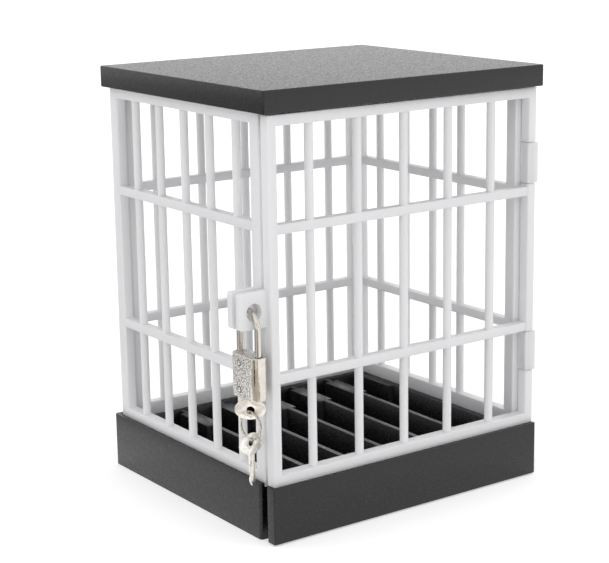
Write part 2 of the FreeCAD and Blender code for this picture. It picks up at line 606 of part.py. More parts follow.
def shackle():
    """Return the shackle: a bent rod with a latch notch at its toe and a flat at its heel."""
    arch_z = ARCH_TOP_Z - LEG_OFFSET
    toe = Vector(0, -LEG_OFFSET, TOE_END_Z)
    heel = Vector(0, LEG_OFFSET, HEEL_END_Z)
    path = Part.Wire([
        Part.LineSegment(toe, Vector(0, -LEG_OFFSET, arch_z)).toShape(),
        Part.Arc(Vector(0, -LEG_OFFSET, arch_z), Vector(0, 0, ARCH_TOP_Z), Vector(0, LEG_OFFSET, arch_z)).toShape(),
        Part.LineSegment(Vector(0, LEG_OFFSET, arch_z), heel).toShape(),
    ])
    profile = Part.Wire(Part.makeCircle(ROD_RADIUS, toe, Z_AXIS))
    rod = path.makePipeShell([profile], True, False)
    inner_toe = -LEG_OFFSET + ROD_RADIUS
    notch_depth = inner_toe - LATCH_ENGAGEMENT - LATCH_GAP
    notch_low = LATCH_Z - LATCH_GAP
    notch_high = LATCH_Z + LATCH_HEIGHT + LATCH_GAP
    clear_drop = RELEASE_TRAVEL * LATCH_ENGAGEMENT / LATCH_TRAVEL
    ramp = [
        Vector(-ROD_RADIUS - 1, inner_toe + 1, notch_high),
        Vector(-ROD_RADIUS - 1, notch_depth, notch_high),
        Vector(-ROD_RADIUS - 1, notch_depth, notch_low),
        Vector(-ROD_RADIUS - 1, inner_toe, notch_low - clear_drop),
        Vector(-ROD_RADIUS - 1, inner_toe + 1, notch_low - clear_drop),
    ]
    notch = Part.Face(Part.makePolygon(ramp + ramp[:1])).extrude(Vector(SHACKLE_ROD + 2, 0, 0))
    inner_heel = LEG_OFFSET - ROD_RADIUS
    flat = box(-ROD_RADIUS - 1, ROD_RADIUS + 1, inner_heel - 1, inner_heel + HEEL_FLAT_DEPTH,
               HEEL_END_Z + HEEL_PIN_RADIUS, HEEL_PIN_Z + 2 * HEEL_PIN_RADIUS)
    return at_lock(rod.cut(notch).cut(flat))


def shackle_spring():
    """Return the spring under the heel of the shackle, wound from square wire."""
    low = CASE_FLOOR_Z + SPRING_WIRE
    high = HEEL_END_Z - SPRING_WIRE
    radius = BORE_RADIUS - SPRING_WIRE
    height = high - low
    half = SPRING_WIRE / 2
    helix = Part.makeHelix(height / SPRING_TURNS, height, radius)
    profile = Part.makePolygon([Vector(radius - half, 0, -half), Vector(radius + half, 0, -half),
                                Vector(radius + half, 0, half), Vector(radius - half, 0, half),
                                Vector(radius - half, 0, -half)])
    coil = Part.Wire(helix.Edges).makePipeShell([profile], True, True)
    coil.translate(Vector(0, LEG_OFFSET, low))
    return at_lock(coil)


def latch_bolt():
    """Return the latch: a plate moved by the cam pin, with a nose that enters the notch."""
    high = LATCH_Z + LATCH_HEIGHT
    shoulder = LATCH_TIP_Y + LATCH_ENGAGEMENT + LATCH_TRAVEL / 2
    plate = box(-LATCH_HALF_WIDTH, LATCH_HALF_WIDTH, shoulder, LATCH_TAIL, LATCH_Z, high)
    nose = box(-LATCH_NOSE_HALF_WIDTH, LATCH_NOSE_HALF_WIDTH, LATCH_TIP_Y, shoulder + 1, LATCH_Z, high)
    pin_y = -CAM_PIN_OFFSET * math.sin(math.radians(45))
    reach = CAM_PIN_RADIUS + LATCH_GAP
    slot = box(-LATCH_HALF_WIDTH - 1, -CAM_PIN_OFFSET / 2 + CAM_PIN_RADIUS, pin_y - reach, pin_y + reach,
               LATCH_Z - 1, high + 1)
    return at_lock(fuse_all([plate, nose]).cut(slot))


def wafer_places():
    """Return the heights of the wafers in the plug."""
    middle = (CASE_FLOOR_Z + PLUG_TOP_Z) / 2
    return [middle + step for step in centred_steps(WAFER_COUNT, WAFER_PITCH)]


def lock_plug():
    """Return the plug: a keyway, slots for the wafers and the cam pin on top."""
    low = CASE_BOTTOM_Z - PLUG_PROUD
    plug = cylinder(PLUG_RADIUS, low, PLUG_TOP_Z, 0, 0)
    half_blade = BLADE_WIDTH / 2 + KEY_CLEARANCE
    half_thick = KEY_THICKNESS / 2 + KEY_CLEARANCE
    plug = plug.cut(box(-half_blade, half_blade, -half_thick, half_thick, low - 1, PLUG_TOP_Z - PLUG_ROOF))
    for z in wafer_places():
        plug = plug.cut(box(-WAFER_LENGTH / 2 - WAFER_GAP, WAFER_LENGTH / 2 + WAFER_GAP,
                            -WAFER_WIDTH / 2 - WAFER_GAP, WAFER_WIDTH / 2 + WAFER_GAP,
                            z - WAFER_THICKNESS / 2 - WAFER_GAP, z + WAFER_THICKNESS / 2 + WAFER_GAP))
    plug = turned(plug, KEY_TURN_FROM_FRONT, 0, 0)
    pin_place = CAM_PIN_OFFSET * math.sin(math.radians(45))
    pin = cylinder(CAM_PIN_RADIUS, PLUG_TOP_Z - PLUG_ROOF / 2, PLUG_TOP_Z + CAM_PIN_HEIGHT, -pin_place, -pin_place)
    return at_lock(fuse_all([plug, pin]))


def wafer(index):
    """Return one of the wafers that the key lines up in the plug."""
    z = wafer_places()[index]
    plate = box(-WAFER_LENGTH / 2, WAFER_LENGTH / 2, -WAFER_WIDTH / 2, WAFER_WIDTH / 2,
                z - WAFER_THICKNESS / 2, z + WAFER_THICKNESS / 2)
    window = box(-BLADE_WIDTH / 2 - KEY_CLEARANCE, BLADE_WIDTH / 2 + KEY_CLEARANCE,
                 -KEY_THICKNESS / 2 - KEY_CLEARANCE, KEY_THICKNESS / 2 + KEY_CLEARANCE,
                 z - WAFER_THICKNESS, z + WAFER_THICKNESS)
    return at_lock(plate.cut(window), KEY_TURN_FROM_FRONT)


def key_blank():
    """Return a key in the XZ plane, blade up, with its shoulder at Z 0, and its hole's height."""
    half = KEY_THICKNESS / 2
    bow_z = -SHOULDER_PROUD - BOW_HEIGHT / 2
    bow = Part.Ellipse(Vector(0, half, bow_z), BOW_WIDTH / 2, BOW_HEIGHT / 2).toShape()
    bow.rotate(Vector(0, half, bow_z), X_AXIS, 90)
    bow_solid = Part.Face(Part.Wire(bow)).extrude(Vector(0, -KEY_THICKNESS, 0))
    shoulder = box(-SHOULDER_WIDTH / 2, SHOULDER_WIDTH / 2, -half, half, bow_z, 0)
    tip = BLADE_LENGTH - SHOULDER_PROUD
    side = BLADE_WIDTH / 2
    outline = [
        Vector(-side, -half, -1), Vector(side, -half, -1), Vector(side, -half, tip * 0.25),
        Vector(side - 0.7, -half, tip * 0.33), Vector(side, -half, tip * 0.41),
        Vector(side, -half, tip * 0.55), Vector(side - 1.0, -half, tip * 0.63),
        Vector(side - 0.3, -half, tip * 0.74), Vector(side - 0.3, -half, tip * 0.85),
        Vector(0.3, -half, tip), Vector(-0.3, -half, tip), Vector(-side, -half, tip * 0.88),
    ]
    blade = Part.Face(Part.makePolygon(outline + outline[:1])).extrude(Vector(0, KEY_THICKNESS, 0))
    for face in (-1, 1):
        y_low, y_high = sorted((face * (half - GROOVE_DEPTH), face * (half + 1)))
        middle = -face * GROOVE_OFFSET
        blade = blade.cut(box(middle - GROOVE_WIDTH / 2, middle + GROOVE_WIDTH / 2, y_low, y_high,
                              0, tip - GROOVE_END))
    hole_z = bow_z - BOW_HEIGHT / 2 + BOW_HOLE_MARGIN + BOW_HOLE_DIAMETER / 2
    hole = Part.makeCylinder(BOW_HOLE_DIAMETER / 2, KEY_THICKNESS + 2, Vector(0, -half - 1, hole_z), Y_AXIS)
    return fuse_all([bow_solid, shoulder, blade]).cut(hole), hole_z


KEY_SHAPE, KEY_HOLE_Z = key_blank()
KEY_SEAT_Z = CASE_BOTTOM_Z - PLUG_PROUD - KEY_TO_PLUG_GAP
RING_TOP_Z = KEY_SEAT_Z + KEY_HOLE_Z - BOW_HOLE_DIAMETER / 2 + RING_SKEW_GAP + RING_WIRE / 2
RING_RADIUS = (RING_OUTER_DIAMETER - RING_WIRE) / 2
RING_CENTRE_Z = RING_TOP_Z - RING_RADIUS
SPARE_HANG_Z = RING_CENTRE_Z - RING_RADIUS + RING_WIRE / 2 + RING_REST_GAP


def lock_key():
    """Return the key that stands in the padlock."""
    key = KEY_SHAPE.copy()
    key.translate(Vector(0, 0, KEY_SEAT_Z))
    return at_lock(key, KEY_TURN_FROM_FRONT)


def key_ring():
    """Return the wire ring that joins the two keys."""
    ring = Part.makeTorus(RING_RADIUS, RING_WIRE / 2, Vector(0, 0, RING_CENTRE_Z), Y_AXIS)
    return at_lock(ring, RING_TURN_FROM_FRONT)


def spare_key():
    """Return the second key, which hangs blade down from the ring."""
    key = KEY_SHAPE.copy()
    key.rotate(Vector(0, 0, KEY_HOLE_Z), Y_AXIS, 180)
    key.translate(Vector(0, 0, SPARE_HANG_Z - KEY_HOLE_Z - BOW_HOLE_DIAMETER / 2))
    return at_lock(key, SPARE_TURN_FROM_FRONT)


NODES = {
    "base_tray": base_tray,
    "lid": lid,
    "left_panel": left_panel,
    "right_panel": right_panel,
    "back_panel": back_panel,
    "door_grille": lambda: swing_open(door_grille()),
    "door_skirt": lambda: swing_open(door_skirt()),
    "shackle": shackle,
    "padlock_case": padlock_case,
    "padlock_base_plate": padlock_base_plate,
    "heel_pin": heel_pin,
    "shackle_spring": shackle_spring,
    "latch_bolt": latch_bolt,
    "lock_plug": lock_plug,
    "wafer_1": lambda: wafer(0),
    "wafer_2": lambda: wafer(1),
    "wafer_3": lambda: wafer(2),
    "wafer_4": lambda: wafer(3),
    "lock_key": lock_key,
    "key_ring": key_ring,
    "spare_key": spare_key,
}


def main():
    """Build every node and write it to its own STEP file."""
    os.makedirs("parts", exist_ok=True)
    for name, make in NODES.items():
        shape = make()
        shape.exportStep("parts/" + name + ".step")
        print(name, "solids", len(shape.Solids), "valid", shape.isValid(), "volume", round(shape.Volume, 1))
    print("hinge", round(HINGE_X, 3), round(HINGE_Y, 3))
    print("lock axis", round(LOCK_X, 3), round(LOCK_Y, 3), "arch top", round(ARCH_TOP_Z, 3))
    print("latch travel", round(LATCH_TRAVEL, 4), "ring top", round(RING_TOP_Z, 3))
    print("ring centre", round(RING_CENTRE_Z, 3), "spare hang", round(SPARE_HANG_Z, 3))


main()
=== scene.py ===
import logging
import math
from dataclasses import dataclass
from enum import Enum
from typing import ClassVar

import bmesh
import bpy
from mathutils import Matrix, Vector


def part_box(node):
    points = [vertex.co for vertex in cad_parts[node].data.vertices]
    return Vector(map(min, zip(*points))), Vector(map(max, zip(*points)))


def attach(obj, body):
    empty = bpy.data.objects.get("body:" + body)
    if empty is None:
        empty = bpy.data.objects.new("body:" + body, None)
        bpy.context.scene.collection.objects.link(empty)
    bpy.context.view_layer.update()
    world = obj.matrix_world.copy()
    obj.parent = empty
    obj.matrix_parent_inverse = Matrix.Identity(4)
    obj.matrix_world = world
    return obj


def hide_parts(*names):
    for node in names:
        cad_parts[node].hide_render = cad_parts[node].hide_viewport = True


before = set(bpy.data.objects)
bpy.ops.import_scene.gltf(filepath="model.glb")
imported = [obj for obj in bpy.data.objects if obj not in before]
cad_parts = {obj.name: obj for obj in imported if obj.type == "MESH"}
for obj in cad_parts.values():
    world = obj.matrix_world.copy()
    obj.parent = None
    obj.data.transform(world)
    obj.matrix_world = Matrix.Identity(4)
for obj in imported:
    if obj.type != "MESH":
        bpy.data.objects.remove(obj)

LOG = logging.getLogger("lockup_cage")
MM = 0.001
# Where the hasp's hole and the padlock are, left of the cage's middle.
HASP_X = -0.0867
# The sRGB curve: its straight toe, and the power that follows.
SRGB_TOE, SRGB_SLOPE, SRGB_OFFSET, SRGB_POWER = 0.04045, 12.92, 0.055, 2.4
# A Mix node's colour sockets share their names with its other sockets, so they go by number.
MIX_FIRST, MIX_SECOND, MIX_RESULT = 6, 7, 2
# Noise keeps near its middle, so these ends of it are stretched over the whole range.
GRAIN_ENDS = (0.38, 0.62)
MARK_ENDS = (0.36, 0.64)
# How many finer layers a noise has: more for marks and flow, fewer for grain and patches.
RICH_DETAIL, PLAIN_DETAIL = 3.0, 2.0
PLASTIC_IOR = 1.5
GLOW_REACH_MM = 4.0
# CAD points closer than this are one, and faces that meet flatter than this are joined.
SAME_POINT_MM = 0.002
FLAT_DEG = 1.0
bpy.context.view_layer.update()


def linear(hex_colour: str) -> tuple[float, float, float, float]:
    """Turn an sRGB hex value into a linear colour.

    Args:
        hex_colour: six hex digits, without a hash.

    Returns:
        Red, green, blue and an alpha of 1.
    """
    values = []
    for start in (0, 2, 4):
        value = int(hex_colour[start:start + 2], 16) / 255
        curved = ((value + SRGB_OFFSET) / (1 + SRGB_OFFSET)) ** SRGB_POWER
        values.append(value / SRGB_SLOPE if value <= SRGB_TOE else curved)
    return values[0], values[1], values[2], 1.0


def add_node(tree: bpy.types.NodeTree, kind: str, settings: dict, links: dict) -> bpy.types.Node:
    """Add a node with its settings and its incoming links.

    Args:
        tree: the node tree.
        kind: the node's type name.
        settings: values by property or socket name.
        links: output sockets by input socket name.

    Returns:
        The new node.
    """
    node = tree.nodes.new(kind)
    for name, value in settings.items():
        if name in node.inputs:
            node.inputs[name].default_value = value
        else:
            setattr(node, name, value)
    for name, source in links.items():
        tree.links.new(source, node.inputs[name])
    return node


def new_material(name: str) -> tuple[bpy.types.Material, bpy.types.NodeTree]:
    """Make an empty node material.

    Args:
        name: the material's name.

    Returns:
        The material and its node tree.
    """
    material = bpy.data.materials.new(name)
    material.use_nodes = True
    material.node_tree.nodes.clear()
    return material, material.node_tree


def noise(tree: bpy.types.NodeTree, size_mm: float, detail: float,
          place: bpy.types.NodeSocket) -> bpy.types.NodeSocket:
    """Add a noise whose marks have a stated size.

    Args:
        tree: the node tree.
        size_mm: the size of a mark.
        detail: how many finer layers it has.
        place: the coordinates that it is read at.

    Returns:
        The noise's value.
    """
    node = add_node(tree, "ShaderNodeTexNoise", {"Scale": 1 / (size_mm * MM), "Detail": detail},
                    {"Vector": place})
    return node.outputs["Fac"]


def two_tones(tree: bpy.types.NodeTree, colour: str, shade: str,
              share: bpy.types.NodeSocket) -> bpy.types.NodeSocket:
    """Add a mix of two colours.

    Args:
        tree: the node tree.
        colour: the main colour, as sRGB hex.
        shade: the other colour.
        share: how much of the other colour there is.

    Returns:
        The mixed colour.
    """
    node = add_node(tree, "ShaderNodeMix", {"data_type": "RGBA"}, {"Factor": share})
    node.inputs[MIX_FIRST].default_value = linear(colour)
    node.inputs[MIX_SECOND].default_value = linear(shade)
    return node.outputs[MIX_RESULT]


def stretched(tree: bpy.types.NodeTree, source: bpy.types.NodeSocket, ends: tuple[float, float],
              low: float, high: float) -> bpy.types.NodeSocket:
    """Stretch a noise over a range.

    Args:
        tree: the node tree.
        source: the noise's value.
        ends: the ends of the noise that are used.
        low: the range's lower end.
        high: its upper end.

    Returns:
        The stretched value.
    """
    node = add_node(tree, "ShaderNodeMapRange",
                    {"From Min": ends[0], "From Max": ends[1], "To Min": low, "To Max": high},
                    {"Value": source})
    return node.outputs["Result"]


def relief_of(tree: bpy.types.NodeTree, depth_mm: float,
              height: bpy.types.NodeSocket) -> bpy.types.NodeSocket:
    """Add a relief of a stated depth.

    Args:
        tree: the node tree.
        depth_mm: its depth.
        height: its height, from 0 to 1.

    Returns:
        The normal that it gives.
    """
    node = add_node(tree, "ShaderNodeBump", {"Strength": 1.0, "Distance": depth_mm * MM},
                    {"Height": height})
    return node.outputs["Normal"]


def seen_directly(tree: bpy.types.NodeTree) -> bpy.types.NodeSocket:
    """Tell rays of the camera, of reflections and through clear matter from all others.

    Args:
        tree: the node tree.

    Returns:
        1 for those rays and 0 for the rest.
    """
    path = add_node(tree, "ShaderNodeLightPath", {}, {})
    straight = add_node(tree, "ShaderNodeMath", {"operation": "MAXIMUM"},
                        {0: path.outputs["Is Camera Ray"], 1: path.outputs["Is Transmission Ray"]})
    either = add_node(tree, "ShaderNodeMath", {"operation": "MAXIMUM"},
                      {0: straight.outputs["Value"], 1: path.outputs["Is Glossy Ray"]})
    return either.outputs["Value"]


@dataclass(frozen=True)
class MouldedPlastic:
    """A moulded plastic with the grain or swirl that its tool and melt leave, or a fine soot."""

    name: str
    colour: str
    shade: str
    roughness: float
    roughness_spread: float
    grain_mm: float
    grain_depth_mm: float
    flow_mm: float
    glow: float

    def build(self) -> bpy.types.Material:
        """Make the material: tone that drifts with the melt's flow, and a fine grain."""
        material, tree = new_material(self.name)
        place = add_node(tree, "ShaderNodeTexCoord", {}, {}).outputs["Object"]
        flow = noise(tree, self.flow_mm, RICH_DETAIL, place)
        tone = two_tones(tree, self.colour, self.shade, flow)
        grain = noise(tree, self.grain_mm, PLAIN_DETAIL, place)
        rough = stretched(tree, grain, GRAIN_ENDS, self.roughness - self.roughness_spread,
                          self.roughness + self.roughness_spread)
        relief = relief_of(tree, self.grain_depth_mm, grain)
        shader = add_node(tree, "ShaderNodeBsdfPrincipled",
                          {"IOR": PLASTIC_IOR, "Subsurface Weight": self.glow,
                           "Subsurface Scale": GLOW_REACH_MM * MM,
                           "Subsurface Radius": (1.0, 1.0, 1.0)},
                          {"Base Color": tone, "Roughness": rough, "Normal": relief})
        add_node(tree, "ShaderNodeOutputMaterial", {}, {"Surface": shader.outputs["BSDF"]})
        return material


@dataclass(frozen=True)
class WorkedMetal:
    """A plated or plain metal, with the marks of how its surface was made."""

    name: str
    colour: str
    shade: str
    roughness: float
    roughness_spread: float
    mark_mm: float
    mark_depth_mm: float
    patch_mm: float = 4.0
    stretch: tuple[float, float, float] = (1.0, 1.0, 1.0)

    def build(self) -> bpy.types.Material:
        """Make the material: marks of the stated size, drawn out along the brushing."""
        material, tree = new_material(self.name)
        place = add_node(tree, "ShaderNodeTexCoord", {}, {}).outputs["Object"]
        drawn = add_node(tree, "ShaderNodeMapping", {"Scale": self.stretch}, {"Vector": place})
        marks = noise(tree, self.mark_mm, RICH_DETAIL, drawn.outputs["Vector"])
        patch = noise(tree, self.patch_mm, PLAIN_DETAIL, place)
        depth = stretched(tree, marks, MARK_ENDS, 0.0, 1.0)
        tone = two_tones(tree, self.colour, self.shade, depth)
        rough = stretched(tree, patch, MARK_ENDS, self.roughness - self.roughness_spread,
                          self.roughness + self.roughness_spread)
        relief = relief_of(tree, self.mark_depth_mm, depth)
        shader = add_node(tree, "ShaderNodeBsdfPrincipled", {"Metallic": 1.0},
                          {"Base Color": tone, "Roughness": rough, "Normal": relief})
        add_node(tree, "ShaderNodeOutputMaterial", {}, {"Surface": shader.outputs["BSDF"]})
        return material


class Finish(Enum):
    """The finishes of the cage, by what each is made of."""

    # Black ABS from a spark-eroded tool: nearly black in itself. What the eye sees is the sheen of
    # its grain, a dull grey from the side and a pale grey along the lid. The real grain is about
    # 0.1 mm; it is drawn at 0.9 mm so that it shows.
    BLACK_ABS = MouldedPlastic("black_grained_abs", "0E0E0F", "09090A", 0.33, 0.08,
                               0.9, 0.045, 30, 0.0)
    # White polystyrene from a polished tool: bright, softly glossy, and thin enough to let some
    # light through, with a faint swirl from the melt. The swirl's marks are about 1.4 mm.
    WHITE_STYRENE = MouldedPlastic("white_smooth_styrene", "EDEDEE", "E7E7E9", 0.36, 0.05,
                                   1.4, 0.008, 50, 0.6)
    # Nickel plate over a shot-blasted zinc casting: pale, warm and speckled. The grit's pits are
    # 0.2 mm; they are drawn at 0.7 mm so that they show.
    BLASTED_NICKEL = WorkedMetal("blasted_nickel_plate", "FFFCF6", "69645C", 0.36, 0.08, 0.7, 0.11)
    # Painted shade: a dark ring round each rivet head, with no shine, standing for the shade in the
    # sunk seam there. Its grain is about 0.5 mm.
    PAINTED_RIVET_SHADE = MouldedPlastic("painted_rivet_gap_shade", "2E2924", "1B1815", 0.60, 0.10, 0.5, 0.02, 3, 0.0)
    # Nickel plate over polished zinc: mirror-like with a slight ripple across the casting.
    POLISHED_NICKEL = WorkedMetal("polished_nickel_plate", "DAD5CD", "D0CAC1", 0.12, 0.04,
                                  3.0, 0.020)
    # Chromed steel rod: a bright mirror with drawing lines 0.3 mm apart along it.
    CHROMED_ROD = WorkedMetal("chromed_drawn_steel", "D8D4CD", "C5C0B8", 0.08, 0.03, 0.3, 0.002,
                              4.0, (1, 1, 0.08))
    # Stamped and barrel-polished key steel, nickel plated: a soft shine with small dents. The
    # tumbled dents are about 0.8 mm; they are drawn at 1.2 mm so that they show.
    TUMBLED_KEY = WorkedMetal("tumbled_key_steel", "F4F1EB", "E4DFD7", 0.30, 0.07, 1.2, 0.012)
    # Spring wire of the split ring, nickel plated: bright, with draw marks.
    RING_WIRE = WorkedMetal("nickelled_spring_wire", "D9D2C6", "9B9388", 0.16, 0.06, 0.8, 0.015)
    # Turned brass of the plug: warm, with rings from the tool 0.3 mm apart.
    TURNED_BRASS = WorkedMetal("turned_brass", "C9A765", "B8954F", 0.24, 0.05, 0.3, 0.004,
                               4.0, (0.25, 0.25, 4))


MATERIALS: dict[Finish, bpy.types.Material] = {}


def material_of(finish: Finish) -> bpy.types.Material:
    """Return the finish's material, made once."""
    if finish not in MATERIALS:
        MATERIALS[finish] = finish.value.build()
    return MATERIALS[finish]


def piece_from(mesh: bmesh.types.BMesh, name: str, finish: Finish, body: str,
               nodes: tuple[str, ...], crease_deg: float = 35.0) -> bpy.types.Object:
    """Turn a finished bmesh into a piece that rides on a body.

    Args:
        mesh: the geometry, in place.
        name: the piece's name.
        finish: its finish.
        body: the body that it rides on.
        nodes: the frame's nodes that it stands for.
        crease_deg: edges sharper than this stay sharp.

    Returns:
        The new object.
    """
    data = bpy.data.meshes.new(name)
    for face in mesh.faces:
        face.smooth = True
    for edge in mesh.edges:
        if len(edge.link_faces) == 2:
            edge.smooth = edge.calc_face_angle(0.0) < math.radians(crease_deg)
    mesh.to_mesh(data)
    mesh.free()
    piece = bpy.data.objects.new(name, data)
    bpy.context.scene.collection.objects.link(piece)
    data.materials.append(material_of(finish))
    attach(piece, body)
    if nodes:
        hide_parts(*nodes)
    LOG.info("%s: %d faces on %s", name, len(data.polygons), body)
    return piece


def merged_copy(node: str) -> bmesh.types.BMesh:
    """Copy a node's solid as one closed mesh of flat faces.

    Args:
        node: the node's name.

    Returns:
        The merged copy, its flat areas joined.
    """
    mesh = bmesh.new()
    mesh.from_mesh(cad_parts[node].data)
    bmesh.ops.remove_doubles(mesh, verts=mesh.verts, dist=SAME_POINT_MM * MM)
    bmesh.ops.dissolve_limit(mesh, angle_limit=math.radians(FLAT_DEG), verts=mesh.verts,
                             edges=mesh.edges)
    return mesh


def round_edges(mesh: bmesh.types.BMesh, width_mm: float, above_deg: float = 40.0,
                segments: int = 2) -> None:
    """Round the sharp edges of a mesh.

    Args:
        mesh: the mesh.
        width_mm: how far the rounding reaches from the edge.
        above_deg: only edges that turn by more than this are rounded.
        segments: the rounding's steps.
    """
    sharp = [edge for edge in mesh.edges if len(edge.link_faces) == 2
             and edge.calc_face_angle(0.0) > math.radians(above_deg)]
    bmesh.ops.bevel(mesh, geom=sharp, offset=width_mm * MM, offset_type="OFFSET", affect="EDGES",
                    segments=segments, profile=0.5, material=-1, clamp_overlap=True)


def dress(node: str, finish: Finish) -> None:
    """Give a node of the frame a finish.

    Args:
        node: the node's name.
        finish: its finish.
    """
    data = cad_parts[node].data
    data.materials.clear()
    data.materials.append(material_of(finish))
    LOG.info("%s keeps its solid", node)


@dataclass
class PlasticShell:
    """The black mouldings: base, lid and the skirt under the door."""

    edge_mm: float = 0.45

    def build(self) -> None:
        """Make the three mouldings with softened edges."""
        for node, body in (("base_tray", "cage"), ("lid", "cage"), ("door_skirt", "door")):
            mesh = merged_copy(node)
            round_edges(mesh, self.edge_mm)
            piece_from(mesh, node + "_moulding", Finish.BLACK_ABS, body, (node,))


@dataclass
class WhiteGrilles:
    """The white barred mouldings: three walls and the door."""

    edge_mm: float = 0.35
    hole_centre: tuple[float, float] = (HASP_X, 0.111)
    hole_radius_mm: float = 4.0
    hole_reach_mm: float = 0.1
    hole_growth: float = 1.03

    def ease_hole(self, mesh: bmesh.types.BMesh) -> None:
        """Widen the hole in the door's ear a hair, as the swinging shackle grazes it.

        Args:
            mesh: the door's grille.
        """
        centre_x, centre_z = self.hole_centre
        rim = [vert for vert in mesh.verts
               if abs(math.hypot(vert.co.x - centre_x, vert.co.z - centre_z)
                      - self.hole_radius_mm * MM) < self.hole_reach_mm * MM]
        bmesh.ops.scale(mesh, vec=(self.hole_growth, 1, self.hole_growth), verts=rim,
                        space=Matrix.Translation((-centre_x, 0, -centre_z)))
        LOG.info("eased %d points of the ear's hole", len(rim))

    def build(self) -> None:
        """Make the four grilles with small fillets where bars meet rails."""
        for node, body in (("left_panel", "cage"), ("right_panel", "cage"),
                           ("back_panel", "cage"), ("door_grille", "door")):
            mesh = merged_copy(node)
            if node == "door_grille":
                self.ease_hole(mesh)
            round_edges(mesh, self.edge_mm)
            piece_from(mesh, node + "_moulding", Finish.WHITE_STYRENE, body,
                       (node,))


@dataclass
class Padlock:
    """The small keyed padlock: a zinc case, a chromed shackle and a brass plug.

    The case's faces take one of three materials: polished, blasted, or painted shade round rivets.
    """

    POLISHED: ClassVar[int] = 0
    BLASTED: ClassVar[int] = 1
    SHADE_RING: ClassVar[int] = 2

    blasted_turn: float = 0.95
    case_crease_deg: float = 22.0
    plate_edge_mm: float = 0.12
    leg_offset_mm: float = 7.45
    bore_reach_mm: float = 1.60
    rim_growth: float = 1.35
    rivet_radius_mm: float = 1.15
    rivet_rise_mm: float = 0.45
    rivet_shift_mm: float = 2.0
    # The size of the dark ring of painted shade round each rivet head.
    shade_ring_radius_mm: float = 1.60
    shade_ring_rise_mm: float = 0.12
    rivet_heights_mm: tuple[float, float] = (74.7, 87.1)
    dome_steps: tuple[int, int] = (24, 12)

    def __post_init__(self) -> None:
        """Read the case's box from the frame."""
        self.low, self.high = (Vector(corner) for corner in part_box("padlock_case"))
        self.axis = (self.low + self.high) / 2

    def case(self) -> None:
        """Make the case: polished ends, and a blasted skin on the broad faces and the top."""
        mesh = merged_copy("padlock_case")
        for face in mesh.faces:
            if abs(face.normal.x) > self.blasted_turn or face.normal.z > self.blasted_turn:
                face.material_index = self.BLASTED
        # The hole that the front leg drops into is flared at the top, which leaves a dark gap.
        leg = Vector((self.axis.x, self.axis.y - self.leg_offset_mm * MM, self.high.z))
        rim = [vert for vert in mesh.verts if (vert.co - leg).length < self.bore_reach_mm * MM]
        bmesh.ops.scale(mesh, vec=(self.rim_growth, self.rim_growth, 1), verts=rim,
                        space=Matrix.Translation(-leg))
        LOG.info("flared %d points of the leg's hole", len(rim))
        for side in (-1, 1):
            face_x = self.axis.x + side * (self.high.x - self.low.x) / 2
            for height in self.rivet_heights_mm:
                rivet_y = self.axis.y + self.rivet_shift_mm * MM
                self.rivet(mesh, Vector((face_x, rivet_y, height * MM)))
        case = piece_from(mesh, "padlock_case_shell", Finish.POLISHED_NICKEL, "lock_case",
                          ("padlock_case",), self.case_crease_deg)
        case.data.materials.append(material_of(Finish.BLASTED_NICKEL))
        case.data.materials.append(material_of(Finish.PAINTED_RIVET_SHADE))

    def rivet(self, mesh: bmesh.types.BMesh, place: Vector) -> None:
        """Add the low domed head of a rivet to the case, and a flat dark ring of painted shade round
        it.

        Args:
            mesh: the case.
            place: the middle of the head, on the face.
        """
        around, across = self.dome_steps
        # The second, wider and flatter dome is painted shade: a dark ring where the seam round the
        # head lies in shadow.
        for radius, rise, material in ((self.rivet_radius_mm, self.rivet_rise_mm, self.POLISHED),
                                       (self.shade_ring_radius_mm, self.shade_ring_rise_mm, self.SHADE_RING)):
            size = Matrix.Diagonal((rise * MM, radius * MM, radius * MM, 1))
            dome = bmesh.ops.create_uvsphere(mesh, u_segments=around, v_segments=across, radius=1.0,
                                             matrix=Matrix.Translation(place) @ size)
            for face in {face for vert in dome["verts"] for face in vert.link_faces}:
                face.material_index = material

    def build(self) -> None:
        """Make the case, its plate, the shackle and the inner works."""
        self.case()
        plate = merged_copy("padlock_base_plate")
        round_edges(plate, self.plate_edge_mm)
        piece_from(plate, "padlock_plate", Finish.POLISHED_NICKEL, "lock_case",
                   ("padlock_base_plate",))
        piece_from(merged_copy("shackle"), "shackle_rod", Finish.CHROMED_ROD, "lock_shackle",
                   ("shackle",))
        for node in ("heel_pin", "shackle_spring"):
            dress(node, Finish.CHROMED_ROD)
        for node in ("latch_bolt", "lock_plug", "wafer_1", "wafer_2", "wafer_3", "wafer_4"):
            dress(node, Finish.TURNED_BRASS)


